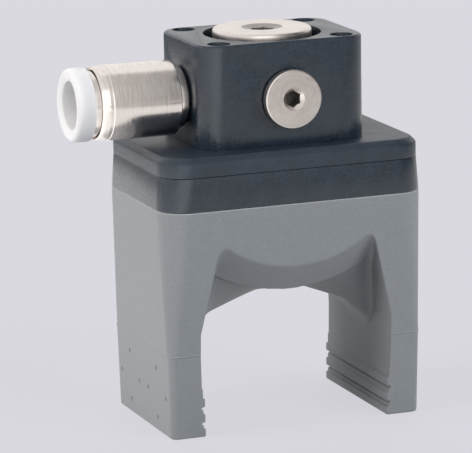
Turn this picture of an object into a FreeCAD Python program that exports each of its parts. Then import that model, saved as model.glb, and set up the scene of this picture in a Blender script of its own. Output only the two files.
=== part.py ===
"""Soft robotic gripper with two fingers, as a parametric model in millimetres.

The origin is the centre of the four mounting holes on the port block's top face.
+X points away from the tube fitting, -Y is the side of the front plug, and the fingers
point along -Z. Depths are measured downwards from the block's top face.
"""
import FreeCAD
import Part
import math
import os
import Sketcher
from types import SimpleNamespace

SIZES = {
    # Port block
    "block_width": 24.4, "block_depth": 17.8, "block_height": 14.4,
    "block_corner": 3.2, "block_edge": 0.25,
    "bolt_inset_x": 3.2, "bolt_inset_y": 2.0, "bolt_hole": 3.2, "bolt_hole_depth": 7.0,
    "side_port_level": 8.05, "port_bore": 5.0, "front_port_level": 7.88, "front_port_offset": 0.55,
    "top_bore": 16.4, "top_bore_depth": 2.5, "chamber_bore": 9.7, "chamber_depth": 10.6,
    "air_hole": 6.0,
    # Seal between block and cover plate
    "block_seal_bore": 8.0, "block_seal_cord": 1.2,
    # Cover plate and its screws
    "cover_width": 38.0, "cover_depth": 25.0, "cover_height": 2.7, "cover_corner": 4.0,
    "cover_edge": 0.8, "tongue_height": 3.0, "tongue_wall": 1.2,
    "screw_inset_x": 4.7, "screw_inset_y": 3.9, "screw_size": 2.5, "screw_length": 8.0,
    "screw_head": 4.7, "screw_head_height": 1.2, "screw_hole": 2.8, "screw_drive": 1.5,
    "screw_drive_depth": 0.9,
    "screw_hole_spare": 0.2,
    # Clamp ring
    "clamp_height": 4.75, "clamp_flare_x": 0.3, "clamp_flare_y": 0.2, "clamp_wall": 1.6,
    # Moulding: rim, walls and chamber
    "neck_wall": 2.0, "rim_overhang": 0.5, "rim_height": 1.2,
    "parting_width": 37.4, "parting_depth": 22.75, "parting_level": 42.05,
    "parting_corner": 1.5, "tip_inset": 0.06, "tip_width": 36.8, "tip_depth": 22.2,
    "tip_level": 53.75, "cavity_shoulder": 24.5, "cavity_low": 31.9,
    "cavity_arch_half": 10.5, "cavity_arch_radius": 16.1,
    # Moulding: arch between the fingers, from the outer faces to the web
    "arch_low": 30.75, "arch_radius": 18.2, "arch_half": 10.4, "arch_peak": 0.8,
    "arch_peak_out": 1.2, "arch_start": 12.1,
    "crease_low": 34.55, "crease_radius": 22.0, "crease_at": 9.0,
    "web_half": 3.35, "web_low": 35.45, "web_knee": 10.2, "web_knee_level": 38.25,
    "web_foot_level": 42.0, "web_thickness": 8.4,
    # Fingers
    "finger_gap_half": 14.1, "finger_kink_level": 39.2, "finger_top_level": 30.0,
    "finger_land_half": 13.95, "finger_end_half": 13.75, "rib_start_level": 46.9,
    "rib_first_level": 48.26, "rib_pitch": 2.13, "rib_radius": 2.0,
    # Push-in tube fitting
    "tube_bore": 6.1, "air_way": 2.6, "thread_length": 4.0, "thread_play": 0.05,
    "washer": 0.3, "washer_width": 1.1, "seal_ease": 0.2,
    "collar_size": 8.1, "collar_length": 1.25,
    "fitting_size": 10.46, "fitting_length": 11.45, "fitting_edge": 0.2,
    "lip_length": 1.7, "lip_radius": 3.6, "lip_step": 0.05, "mouth_step": 0.15, "mouth_land": 0.12,
    "mouth_depth": 0.5, "body_wall": 0.63, "tube_stop": 0.85, "socket_length": 1.8,
    "tube_seal_wall": 1.15, "tube_seal_length": 2.0, "tube_seal_lip": 0.3,
    "claw_length": 1.2, "claw_thickness": 0.3, "claw_count": 8, "claw_slot": 0.5,
    "guide_wall": 0.75, "guide_step": 0.2, "guide_stop_length": 2.7, "guide_reach": 1.4,
    # Release ring
    "ring_size": 10.2, "ring_length": 2.5, "ring_gap": 0.9, "ring_round": 0.9,
    "ring_recess": 1.5, "ring_wall": 0.4, "ring_slide_play": 0.07,
    "ring_barb_length": 1.7, "ring_play": 0.1, "ring_lead_in": 0.3, "ring_mouth_depth": 0.4,
    # Plugs
    "front_plug_size": 8.2, "front_plug_head": 1.1, "front_plug_edge": 0.25,
    "front_plug_hex": 2.1, "front_plug_cone": 3.1, "front_plug_length": 3.8,
    "top_plug_size": 13.8, "top_plug_proud": 0.75, "top_plug_edge": 0.6,
    "top_plug_hex": 3.0, "top_plug_cone": 5.8, "top_plug_length": 4.3,
    "top_plug_cone_fall": 0.4, "top_seal": 0.6, "top_seal_width": 1.45, "hex_depth": 2.0,
}

# Distance that takes a cutting shape safely outside the part
OUTER_REACH = 30.0


class Size:
    """A length with its number and the spreadsheet formula that gives it."""

    def __init__(self, value, text):
        self.value = value
        self.text = text

    def __add__(self, other):
        return joined(self, "+", other)

    def __sub__(self, other):
        return joined(self, "-", other)

    def __mul__(self, other):
        return joined(self, "*", other)

    def __truediv__(self, other):
        return joined(self, "/", other)

    def __neg__(self):
        return joined(0, "-", self)

    def root(self):
        """Square root of the size."""
        return Size(math.sqrt(self.value), f"sqrt({self.text})")


def as_size(length):
    """Turn a plain number into a size."""
    return length if isinstance(length, Size) else Size(float(length), str(length))


def joined(left, sign, right):
    """Combine two lengths into one formula."""
    left, right = as_size(left), as_size(right)
    if sign == "+":
        value = left.value + right.value
    elif sign == "-":
        value = left.value - right.value
    elif sign == "*":
        value = left.value * right.value
    else:
        value = left.value / right.value
    return Size(value, f"({left.text} {sign} {right.text})")


# Document and spreadsheet
doc = FreeCAD.newDocument("SoftGripper")
sheet = doc.addObject("Spreadsheet::Sheet", "Sizes")
s = SimpleNamespace()
for row, (name, number) in enumerate(SIZES.items(), start=1):
    sheet.set(f"A{row}", name)
    sheet.set(f"B{row}", str(number))
    sheet.setAlias(f"B{row}", name)
    setattr(s, name, Size(number, f"Sizes.{name}"))
doc.recompute()


# Helpers for sketches and solids
TURNS = {
    "xy": FreeCAD.Rotation(),
    "xz": FreeCAD.Rotation(FreeCAD.Vector(1, 0, 0), 90),
    "yz": FreeCAD.Rotation(FreeCAD.Vector(1, 1, 1), 120),
}
NORMALS = {"xy": "z", "xz": "y", "yz": "x"}
ALONG = {"x": FreeCAD.Vector(1, 0, 0), "y": FreeCAD.Vector(0, 1, 0), "z": FreeCAD.Vector(0, 0, 1)}
CORNER_UP = 30
SAME_LEVEL = 1e-6


def bind(item, prop, length):
    """Bind one property of an object to a formula."""
    item.setExpression(prop, as_size(length).text)


def place(item, **distances):
    """Bind an object's position along x, y or z."""
    for axis, length in distances.items():
        bind(item, f"Placement.Base.{axis}", length)


def new_sketch(name, plane, offset, body=None):
    """An empty sketch parallel to one of the main planes, inside a body or free."""
    if body is None:
        sketch = doc.addObject("Sketcher::SketchObject", name)
        sketch.Placement = FreeCAD.Placement(FreeCAD.Vector(), TURNS[plane])
        place(sketch, **{NORMALS[plane]: offset})
        return sketch
    sketch = body.newObject("Sketcher::SketchObject", name)
    role = f"{plane.upper()}_Plane"
    origin_plane = [item for item in body.Origin.OriginFeatures if item.Role == role][0]
    sketch.AttachmentSupport = [(origin_plane, "")]
    sketch.MapMode = "FlatFace"
    bind(sketch, "AttachmentOffset.Base.z", -offset if plane == "xz" else offset)
    return sketch


def pin(sketch, edge, end, point):
    """Fix the end of an edge at a point given by two formulas."""
    axes = (("DistanceX", -2), ("DistanceY", -1))
    for length, (kind, axis) in zip(point, axes):
        length = as_size(length)
        if length.value == 0:
            sketch.addConstraint(Sketcher.Constraint("PointOnObject", edge, end, axis))
            continue
        rule = Sketcher.Constraint(kind, -1, 1, edge, end, length.value)
        bind(sketch, f"Constraints[{sketch.addConstraint(rule)}]", length)


def arc_between(start, finish, radius, bulge):
    """Arc of a circle between two points; bulge is +1 to the left of the way, -1 to the right."""
    chord = finish - start
    left = FreeCAD.Vector(-chord.y, chord.x, 0).normalize()
    rise = math.sqrt(radius ** 2 - (chord.Length / 2) ** 2)
    centre = (start + finish) / 2 - left * rise * bulge
    circle = Part.Circle(centre, FreeCAD.Vector(0, 0, 1), radius)
    ends = [math.atan2(p.y - centre.y, p.x - centre.x) for p in (start, finish)]
    if bulge > 0:
        ends.reverse()
    return Part.ArcOfCircle(circle, *ends)


def outline(name, plane, offset, points, body=None):
    """A closed outline of lines and arcs, each corner fixed by its formulas.

    A point is (u, v), or (u, v, radius, bulge) where an arc leads on from it.
    """
    sketch = new_sketch(name, plane, as_size(offset), body)
    corners = [FreeCAD.Vector(as_size(p[0]).value, as_size(p[1]).value, 0) for p in points]
    ways = []
    for index, point in enumerate(points):
        start, finish = corners[index], corners[(index + 1) % len(points)]
        if len(point) == 2:
            sketch.addGeometry(Part.LineSegment(start, finish))
            ways.append((1, 2))
            continue
        radius, bulge = as_size(point[2]), point[3]
        sketch.addGeometry(arc_between(start, finish, radius.value, bulge))
        ways.append((2, 1) if bulge > 0 else (1, 2))
        rule = Sketcher.Constraint("Radius", index, radius.value)
        bind(sketch, f"Constraints[{sketch.addConstraint(rule)}]", radius)
    for index, point in enumerate(points):
        following = (index + 1) % len(points)
        rule = Sketcher.Constraint("Coincident", index, ways[index][1], following, ways[following][0])
        sketch.addConstraint(rule)
        pin(sketch, index, ways[index][0], point[:2])
    return sketch


def circles(name, plane, offset, diameters, centres, body):
    """Circles in a body's sketch, each diameter around each centre."""
    sketch = new_sketch(name, plane, as_size(offset), body)
    rings = [(as_size(diameter), centre) for centre in centres for diameter in diameters]
    for index, (diameter, (u, v)) in enumerate(rings):
        middle = FreeCAD.Vector(as_size(u).value, as_size(v).value, 0)
        sketch.addGeometry(Part.Circle(middle, FreeCAD.Vector(0, 0, 1), diameter.value / 2))
        rule = Sketcher.Constraint("Diameter", index, diameter.value)
        bind(sketch, f"Constraints[{sketch.addConstraint(rule)}]", diameter)
        pin(sketch, index, 3, (u, v))
    return sketch


def pocket(name, body, sketch, depth, towards_normal=False):
    """Cut a sketch into a body, against its normal or along it."""
    feature = body.newObject("PartDesign::Pocket", name)
    feature.Profile = sketch
    feature.Reversed = towards_normal
    bind(feature, "Length", depth)
    return feature


def edge_break(name, body, size, level):
    """Chamfer around the flat face of a body that lies at a level."""
    doc.recompute()
    base = body.Tip
    faces = [index for index, face in enumerate(base.Shape.Faces, start=1)
             if abs(face.BoundBox.ZMin - level.value) + face.BoundBox.ZLength < SAME_LEVEL]
    feature = body.newObject("PartDesign::Chamfer", name)
    feature.Base = (base, [f"Face{faces[0]}"])
    bind(feature, "Size", size)
    return feature


def rounded_outline(name, offset, width, depth, corner, body=None):
    """A horizontal rounded rectangle, centred on the axis."""
    u, v = as_size(width) / 2, as_size(depth) / 2
    points = []
    for right, back in ((1, 1), (-1, 1), (-1, -1), (1, -1)):
        on_side = (u * right, (v - corner) * back)
        on_face = ((u - corner) * right, v * back)
        first, last = (on_side, on_face) if right == back else (on_face, on_side)
        points += [(*first, corner, -1), last]
    return outline(name, "xy", offset, points, body)


def extruded(name, sketch, direction, length):
    """Solid that a sketch sweeps along a direction."""
    solid = doc.addObject("Part::Extrusion", name)
    solid.Base = sketch
    solid.DirMode = "Custom"
    solid.Dir = direction
    solid.Solid = True
    bind(solid, "LengthFwd", length)
    return solid


def slab(name, offset, height, width, depth, corner):
    """Rounded plate that reaches down from an offset."""
    sketch = rounded_outline(f"{name}_outline", offset, width, depth, corner)
    return extruded(name, sketch, -ALONG["z"], height)


def lofted(name, sketches):
    """Solid through a row of sketches with straight sides."""
    solid = doc.addObject("Part::Loft", name)
    solid.Sections = sketches
    solid.Solid = True
    solid.Ruled = True
    return solid


def turned(name, axis, points):
    """Solid of revolution; a point is (place along the axis, radius)."""
    plane = {"x": "xz", "y": "yz", "z": "xz"}[axis]
    if axis == "z":
        points = [(point[1], point[0], *point[2:3], *(-b for b in point[3:])) for point in points]
    sketch = outline(f"{name}_section", plane, 0, points)
    solid = doc.addObject("Part::Revolution", name)
    solid.Source = sketch
    solid.Axis = ALONG[axis]
    solid.Base = FreeCAD.Vector()
    solid.Angle = 360
    solid.Solid = True
    return solid


def hexagon(name, axis, across_flats, depth, turn=0, **low_end):
    """Hexagonal prism along a main axis from its low end."""
    solid = doc.addObject("Part::Prism", name)
    solid.Polygon = 6
    facing = FreeCAD.Rotation(ALONG["z"], ALONG[axis]) * FreeCAD.Rotation(ALONG["z"], turn)
    solid.Placement = FreeCAD.Placement(FreeCAD.Vector(), facing)
    bind(solid, "Circumradius", across_flats / as_size(3).root())
    bind(solid, "Height", depth)
    place(solid, **low_end)
    return solid


def fused(name, solids):
    """One solid from several."""
    result = doc.addObject("Part::MultiFuse", name)
    result.Shapes = solids
    return result


def cut(name, base, tools):
    """A solid with tools taken away."""
    result = doc.addObject("Part::Cut", name)
    result.Base = base
    result.Tool = tools[0] if len(tools) == 1 else fused(f"{name}_tools", tools)
    return result


def common(name, first, second):
    """What two solids share."""
    result = doc.addObject("Part::Common", name)
    result.Base = first
    result.Tool = second
    return result


def at_corners(spacing_x, spacing_y):
    """The four corners of a centred rectangle."""
    return [(spacing_x / 2 * right, spacing_y / 2 * back)
            for right, back in ((-1, -1), (1, -1), (-1, 1), (1, 1))]


# Levels that several pieces share
block_bottom = -s.block_height
cover_bottom = block_bottom - s.cover_height
clamp_bottom = cover_bottom - s.clamp_height
clamp_width = s.cover_width + s.clamp_flare_x * 2
clamp_depth = s.cover_depth + s.clamp_flare_y * 2
neck_width = s.cover_width - s.clamp_wall * 2
neck_depth = s.cover_depth - s.clamp_wall * 2
neck_corner = s.cover_corner - s.clamp_wall
mouth_width = neck_width - s.neck_wall * 2
mouth_depth = neck_depth - s.neck_wall * 2
screw_places = at_corners(s.block_width - s.screw_inset_x * 2, s.block_depth - s.screw_inset_y * 2)
bolt_places = at_corners(s.block_width - s.bolt_inset_x * 2, s.block_depth - s.bolt_inset_y * 2)
washer_bore = s.port_bore + s.seal_ease
washer_size = washer_bore + s.washer_width * 2


# Port block: printed block with the mounting holes and three air ports
block = doc.addObject("PartDesign::Body", "port_block")
block_plan = rounded_outline("block_plan", 0, s.block_width, s.block_depth, s.block_corner, block)
block_pad = block.newObject("PartDesign::Pad", "block_pad")
block_pad.Profile = block_plan
block_pad.Reversed = True
bind(block_pad, "Length", s.block_height)
edge_break("block_top_edge", block, s.block_edge, as_size(0))
block_axis = [(0, 0)]
pocket("top_counterbore", block,
       circles("top_bore_plan", "xy", 0, [s.top_bore], block_axis, block), s.top_bore_depth)
pocket("air_chamber", block,
       circles("chamber_plan", "xy", 0, [s.chamber_bore], block_axis, block), s.chamber_depth)
pocket("air_outlet", block,
       circles("outlet_plan", "xy", 0, [s.air_hole], block_axis, block), s.block_height)
pocket("mounting_holes", block,
       circles("mounting_plan", "xy", 0, [s.bolt_hole], bolt_places, block), s.bolt_hole_depth)
pocket("front_port", block,
       circles("front_port_plan", "xz", -s.block_depth / 2, [s.port_bore],
               [(s.front_port_offset, -s.front_port_level)], block), s.block_depth / 2)
pocket("side_port", block,
       circles("side_port_plan", "yz", -s.block_width / 2, [s.port_bore],
               [(0, -s.side_port_level)], block), s.block_width / 2, True)
pocket("seal_groove", block,
       circles("groove_plan", "xy", block_bottom,
               [s.block_seal_bore, s.block_seal_bore + s.block_seal_cord * 2],
               block_axis, block), s.block_seal_cord, True)
pocket("screw_threads", block,
       circles("thread_plan", "xy", block_bottom, [s.screw_size], screw_places, block),
       s.screw_length - s.cover_height + s.screw_hole_spare, True)

# Seal in the groove under the block
block_seal = doc.addObject("Part::Torus", "block_seal")
bind(block_seal, "Radius1", (s.block_seal_bore + s.block_seal_cord) / 2)
bind(block_seal, "Radius2", s.block_seal_cord / 2)
place(block_seal, z=block_bottom + s.block_seal_cord / 2)

# Cover plate: chamfered plate with a tongue inside the moulding's mouth
cover = doc.addObject("PartDesign::Body", "cover_plate")
cover_plan = rounded_outline("cover_plan", cover_bottom, s.cover_width, s.cover_depth,
                             s.cover_corner, cover)
cover_pad = cover.newObject("PartDesign::Pad", "cover_pad")
cover_pad.Profile = cover_plan
bind(cover_pad, "Length", s.cover_height)
edge_break("cover_top_edge", cover, s.cover_edge, block_bottom)
tongue_plan = rounded_outline("tongue_plan", cover_bottom, mouth_width, mouth_depth,
                              s.tongue_wall / 2, cover)
tongue_pad = cover.newObject("PartDesign::Pad", "tongue_pad")
tongue_pad.Profile = tongue_plan
tongue_pad.Reversed = True
bind(tongue_pad, "Length", s.tongue_height)
pocket("tongue_hollow", cover,
       rounded_outline("hollow_plan", cover_bottom - s.tongue_height,
                       mouth_width - s.tongue_wall * 2, mouth_depth - s.tongue_wall * 2,
                       s.tongue_wall / 2, cover), s.tongue_height, True)
pocket("cover_air_hole", cover,
       circles("cover_hole_plan", "xy", block_bottom, [s.air_hole], block_axis, cover),
       s.cover_height)
pocket("screw_clearance", cover,
       circles("clearance_plan", "xy", block_bottom, [s.screw_hole], screw_places, cover),
       s.cover_height)
pocket("screw_recess", cover,
       circles("recess_plan", "xy", cover_bottom, [s.screw_head + s.screw_hole_spare],
               screw_places, cover), s.screw_head_height, True)

# Four screws that pull the cover plate against the block from below
cover_screws = []
for number, (x, y) in enumerate(screw_places, start=1):
    head_radius, shank_radius = s.screw_head / 2, s.screw_size / 2 - s.thread_play / 2
    profile = turned(f"screw_{number}_body", "z", [
        (0, 0), (s.screw_length, 0), (s.screw_length, shank_radius),
        (s.screw_head_height, shank_radius), (s.screw_head_height, head_radius), (0, head_radius)])
    drive = hexagon(f"screw_{number}_drive", "z", s.screw_drive, s.screw_drive_depth)
    screw = cut(f"cover_screw_{number}", profile, [drive])
    place(screw, x=x, y=y, z=cover_bottom)
    cover_screws.append(screw)

# Moulding, outside: tapered body down to the parting line, then the inset fingertips
body_top = rounded_outline("body_top", clamp_bottom, clamp_width, clamp_depth, s.cover_corner)
body_end = rounded_outline("body_end", -s.parting_level, s.parting_width, s.parting_depth,
                           s.parting_corner)
moulding_upper = lofted("moulding_upper", [body_top, body_end])
tip_start = rounded_outline("tip_start", -s.parting_level, s.parting_width - s.tip_inset * 2,
                            s.parting_depth - s.tip_inset * 2, s.parting_corner)
tip_end = rounded_outline("tip_end", -s.tip_level, s.tip_width, s.tip_depth, s.parting_corner)
moulding_tips = lofted("moulding_tips", [tip_start, tip_end])
neck = slab("neck", cover_bottom, s.clamp_height, neck_width, neck_depth, neck_corner)
rim = slab("rim", cover_bottom, s.rim_height, neck_width + s.rim_overhang * 2,
           neck_depth + s.rim_overhang * 2, neck_corner + s.rim_overhang)

# Clamp ring: flaring band with a step that hooks under the moulding's rim
clamp_top = rounded_outline("clamp_top", cover_bottom, s.cover_width, s.cover_depth,
                            s.cover_corner)
clamp_foot = rounded_outline("clamp_foot", clamp_bottom, clamp_width, clamp_depth,
                             s.cover_corner)
clamp_ring = cut("clamp_ring", lofted("clamp_band", [clamp_top, clamp_foot]), [neck, rim])


# Moulding, between the fingers: the arch on both faces runs back to the web
def drop(radius, across):
    """How far a hanging arc has risen at a distance from its lowest point."""
    return radius - (radius * radius - across * across).root()


def slant_half(level):
    """Half the gap between the fingers at a level above their kink."""
    lean = (s.finger_gap_half - s.arch_half - s.arch_peak_out) / (s.finger_kink_level - peak_level)
    return s.finger_gap_half - (s.finger_kink_level - level) * lean


def tunnel_section(name, across, levels, radius=None):
    """Section of the space under the moulding.

    levels are the depths of the foot, the slant's top, the arch's end and the arch's bend.
    With a radius, the arch hangs in an arc and its ends are rounded.
    """
    foot, slant_top, arch_end, bend = levels
    floor = s.tip_level + OUTER_REACH
    (top_half, top_level), (end_half, end_level) = slant_top, arch_end
    hang, rounding = (), ()
    if radius is not None:
        hang = (radius, 1)
        rounding = ((top_half - end_half + top_level - end_level) / 2, -1)
    return outline(name, "xz", across, [
        (s.finger_gap_half, -floor), (s.finger_gap_half, -foot),
        (top_half, -top_level, *rounding), (end_half, -end_level, *hang),
        (s.web_half, -bend, *hang), (-s.web_half, -bend, *hang),
        (-end_half, -end_level, *rounding), (-top_half, -top_level),
        (-s.finger_gap_half, -foot), (-s.finger_gap_half, -floor)])


peak_level = s.arch_low - drop(s.arch_radius, s.arch_half) + s.arch_peak
face_levels = (s.finger_kink_level, (s.arch_half + s.arch_peak_out, peak_level),
               (s.arch_half, peak_level - s.arch_peak), s.arch_low - drop(s.arch_radius, s.web_half))
crease_end = s.crease_low - drop(s.crease_radius, s.arch_half)
crease_levels = (s.finger_kink_level, (slant_half(crease_end + s.arch_peak), crease_end + s.arch_peak),
                 (s.arch_half, crease_end), s.crease_low - drop(s.crease_radius, s.web_half))
web_levels = (s.web_foot_level,
              ((s.finger_gap_half + s.web_knee) / 2, (s.web_foot_level + s.web_knee_level) / 2),
              (s.web_knee, s.web_knee_level), s.web_low)
tunnel_sections = []
for side, word in ((-1, "front"), (1, "back")):
    stations = [
        tunnel_section(f"{word}_outside", s.parting_depth * side, face_levels, s.arch_radius),
        tunnel_section(f"{word}_face", s.arch_start * side, face_levels, s.arch_radius),
        tunnel_section(f"{word}_crease", s.crease_at * side, crease_levels, s.crease_radius),
        tunnel_section(f"{word}_web", s.web_thickness / 2 * side, web_levels)]
    tunnel_sections += stations[::-side]
tunnel = lofted("tunnel", tunnel_sections)

# Moulding, inside: air chamber above the arch
cavity_end = s.cavity_low - drop(s.cavity_arch_radius, s.cavity_arch_half)
cavity_section = outline("cavity_section", "xz", mouth_depth / 2, [
    (mouth_width / 2, cover_bottom), (mouth_width / 2, -s.cavity_shoulder),
    (s.cavity_arch_half, -cavity_end, s.cavity_arch_radius, 1),
    (-s.cavity_arch_half, -cavity_end), (-mouth_width / 2, -s.cavity_shoulder),
    (-mouth_width / 2, cover_bottom)])
cavity = extruded("cavity", cavity_section, -ALONG["y"], mouth_depth)

# Fingers: the outer shape beyond the inner face with its grip ribs
finger_side = [(s.parting_width, -s.tip_level - OUTER_REACH),
               (s.finger_end_half, -s.tip_level - OUTER_REACH),
               (s.finger_end_half, -s.tip_level, s.rib_radius, 1)]
rib_levels = [s.rib_first_level + s.rib_pitch * rib for rib in (2, 1, 0)]
finger_side += [(s.finger_land_half, -level, s.rib_radius, 1) for level in rib_levels]
finger_side += [(s.finger_land_half, -s.rib_start_level),
                (s.finger_gap_half, -s.parting_level), (s.finger_gap_half, -s.finger_kink_level),
                (slant_half(s.finger_top_level), -s.finger_top_level),
                (s.parting_width, -s.finger_top_level)]
finger_outline = outline("finger_side", "xz", s.parting_depth, finger_side)
right_zone = extruded("right_zone", finger_outline, -ALONG["y"], s.parting_depth * 2)
moulding_outside = fused("moulding_outside", [moulding_upper, moulding_tips])
right_finger = common("right_finger", moulding_outside, right_zone)
left_finger = doc.addObject("Part::Mirroring", "left_finger")
left_finger.Source = right_finger
left_finger.Normal = ALONG["x"]
left_zone = doc.addObject("Part::Mirroring", "left_zone")
left_zone.Source = right_zone
left_zone.Normal = ALONG["x"]
palm = cut("palm", fused("palm_blank", [moulding_upper, neck, rim]),
           [tunnel, cavity, right_zone, left_zone])

# Push-in fitting: turned body, with distances along X from the block's side face
face_at = -s.block_width / 2
shoulder = face_at - s.washer
body_back = shoulder - s.collar_length
body_front = body_back - s.fitting_length
stop_at = body_back - s.tube_stop
seal_from = stop_at - s.socket_length
seal_to = seal_from - s.tube_seal_length
claw_to = seal_to - s.claw_length
mouth_floor = body_front + s.mouth_depth
lip_back = body_front + s.lip_length
thread_radius = (s.port_bore - s.thread_play) / 2
tube_radius = s.tube_bore / 2
seal_radius = tube_radius + s.tube_seal_wall
seal_waist = tube_radius + s.tube_seal_lip
guide_radius = s.fitting_size / 2 - s.body_wall
mouth_radius = guide_radius + s.mouth_step
slide_radius = guide_radius - s.guide_wall
stop_radius = slide_radius + s.guide_step
sleeve_radius = slide_radius - s.ring_slide_play
barb_radius = stop_radius - s.ring_slide_play
recess_radius = s.ring_size / 2 - s.ring_wall
fitting_body = turned("fitting_body", "x", [
    (shoulder + s.thread_length, s.air_way / 2), (shoulder + s.thread_length, thread_radius),
    (shoulder, thread_radius), (shoulder, s.collar_size / 2), (body_back, s.collar_size / 2),
    (body_back, s.fitting_size / 2 - s.fitting_edge), (body_back - s.fitting_edge, s.fitting_size / 2),
    (lip_back, s.fitting_size / 2), (lip_back, s.fitting_size / 2 - s.lip_step, s.lip_radius, -1),
    (body_front, mouth_radius + s.mouth_land),
    (body_front, mouth_radius), (mouth_floor, mouth_radius), (mouth_floor, guide_radius),
    (seal_to, guide_radius), (seal_to, seal_radius), (seal_from, seal_radius),
    (seal_from, tube_radius), (stop_at, tube_radius), (stop_at, s.air_way / 2)])
fitting_washer = turned("fitting_washer", "x", [
    (face_at, washer_bore / 2), (shoulder, washer_bore / 2),
    (shoulder, washer_size / 2), (face_at, washer_size / 2)])
seal_middle = (seal_from + seal_to) / 2
tube_seal = turned("tube_seal", "x", [
    (seal_from, seal_waist), (seal_from, seal_radius),
    (seal_to, seal_radius), (seal_to, tube_radius),
    (seal_middle, tube_radius)])
claw_middle = (seal_to + claw_to) / 2
claw_ring = turned("claw_ring", "x", [
    (claw_to, guide_radius), (claw_to + s.claw_thickness, guide_radius),
    (claw_to + s.claw_thickness, seal_radius), (seal_to, tube_radius + s.claw_thickness),
    (seal_to, tube_radius), (claw_middle, tube_radius), (claw_to, seal_waist)])
claw_slots = []
for number in range(SIZES["claw_count"]):
    slot = doc.addObject("Part::Box", f"claw_slot_{number + 1}")
    turn = FreeCAD.Rotation(ALONG["x"], 360 * number / SIZES["claw_count"])
    slot.Placement = FreeCAD.Placement(FreeCAD.Vector(), turn)
    bind(slot, "Length", s.claw_length * 2)
    bind(slot, "Width", s.claw_slot)
    bind(slot, "Height", seal_radius)
    place(slot, x=claw_to - s.claw_length / 2)
    claw_slots.append(slot)
tube_claws = cut("tube_claws", claw_ring, claw_slots)
guide_step = claw_to - s.guide_stop_length
guide_end = body_front - s.guide_reach
guide_sleeve = turned("guide_sleeve", "x", [
    (claw_to, stop_radius), (claw_to, guide_radius), (guide_end, guide_radius),
    (guide_end, slide_radius), (guide_step, slide_radius),
    (guide_step, stop_radius)])
ring_back = body_front - s.ring_gap
ring_front = ring_back - s.ring_length
recess_floor = ring_back - s.ring_recess
barb_front = guide_step + s.ring_play
barb_back = barb_front + s.ring_barb_length
release_ring = turned("release_ring", "x", [
    (barb_back, tube_radius), (barb_back, barb_radius), (barb_front, barb_radius),
    (barb_front, sleeve_radius), (recess_floor, sleeve_radius),
    (recess_floor, recess_radius), (ring_back, recess_radius),
    (ring_back, s.ring_size / 2), (ring_front + s.ring_round, s.ring_size / 2, s.ring_round, -1),
    (ring_front, s.ring_size / 2 - s.ring_round), (ring_front, tube_radius + s.ring_lead_in),
    (ring_front + s.ring_mouth_depth, tube_radius)])
for item in (fitting_body, fitting_washer, tube_seal, tube_claws, guide_sleeve, release_ring):
    place(item, z=-s.side_port_level)

# Front plug with its seal, along Y
front_face = -s.block_depth / 2
plug_seat = front_face - s.washer
plug_face = plug_seat - s.front_plug_head
plug_hex_radius = s.front_plug_hex / as_size(3).root()
plug_radius = s.front_plug_size / 2
plug_cone_floor = plug_face + s.front_plug_cone / 2 - plug_hex_radius
front_plug_body = turned("front_plug_body", "y", [
    (plug_cone_floor, 0), (front_face + s.front_plug_length, 0),
    (front_face + s.front_plug_length, thread_radius), (plug_seat, thread_radius),
    (plug_seat, plug_radius), (plug_face + s.front_plug_edge, plug_radius),
    (plug_face, plug_radius - s.front_plug_edge), (plug_face, s.front_plug_cone / 2),
    (plug_cone_floor, plug_hex_radius)])
front_plug = cut("front_plug", front_plug_body,
                 [hexagon("front_hex", "y", s.front_plug_hex, s.hex_depth, CORNER_UP,
                          y=plug_cone_floor)])
front_plug_seal = turned("front_plug_seal", "y", [
    (plug_seat, washer_bore / 2), (front_face, washer_bore / 2),
    (front_face, washer_size / 2), (plug_seat, washer_size / 2)])
for item in (front_plug, front_plug_seal):
    place(item, x=s.front_port_offset, z=-s.front_port_level)

# Top plug with its seal, along Z
top_floor = -s.top_bore_depth
top_seat = top_floor + s.top_seal
top_hex_radius = s.top_plug_hex / as_size(3).root()
top_radius = s.top_plug_size / 2
top_cone_floor = s.top_plug_proud - (s.top_plug_cone / 2 - top_hex_radius) * s.top_plug_cone_fall
top_thread_radius = (s.chamber_bore - s.thread_play) / 2
top_plug_body = turned("top_plug_body", "z", [
    (top_cone_floor, 0), (top_cone_floor, top_hex_radius), (s.top_plug_proud, s.top_plug_cone / 2),
    (s.top_plug_proud, top_radius - s.top_plug_edge), (s.top_plug_proud - s.top_plug_edge, top_radius),
    (top_seat, top_radius), (top_seat, top_thread_radius),
    (top_seat - s.top_plug_length, top_thread_radius), (top_seat - s.top_plug_length, 0)])
top_plug = cut("top_plug", top_plug_body,
               [hexagon("top_hex", "z", s.top_plug_hex, s.hex_depth,
                        z=top_cone_floor - s.hex_depth)])
top_seal_inside = (s.chamber_bore + s.seal_ease) / 2
top_seal_outside = top_seal_inside + s.top_seal_width
top_plug_seal = turned("top_plug_seal", "z", [
    (top_floor, top_seal_inside), (top_seat, top_seal_inside),
    (top_seat, top_seal_outside), (top_floor, top_seal_outside)])

# Check every object, then write each piece
PIECES = [block, block_seal, cover, *cover_screws, clamp_ring, palm, left_finger, right_finger,
          fitting_body, fitting_washer, tube_seal, tube_claws, guide_sleeve, release_ring,
          front_plug, front_plug_seal, top_plug, top_plug_seal]
doc.recompute()
faulty = [item.Name for item in doc.Objects if {"Invalid", "Error"} & set(item.State)]
for piece in PIECES:
    piece.Label = piece.Name
    if piece.Shape.isNull() or not piece.Shape.isValid() or piece.Shape.Volume <= 0:
        faulty.append(piece.Name)
if faulty:
    raise RuntimeError(f"failed: {', '.join(faulty)}")
os.makedirs("parts", exist_ok=True)
for piece in PIECES:
    piece.Shape.exportStep(f"parts/{piece.Label}.step")
    print(piece.Label, len(piece.Shape.Solids), round(piece.Shape.Volume, 1))
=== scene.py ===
"""Looks of the soft gripper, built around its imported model.

Lengths are written in millimetres and turned into metres by MM, but those of the floor and the
light are in metres, and a texture's grain is its scale per metre. The sections follow the way the
gripper is put together: port block, cover, clamp ring, moulding, tube fitting and plugs.
"""
import math

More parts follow.
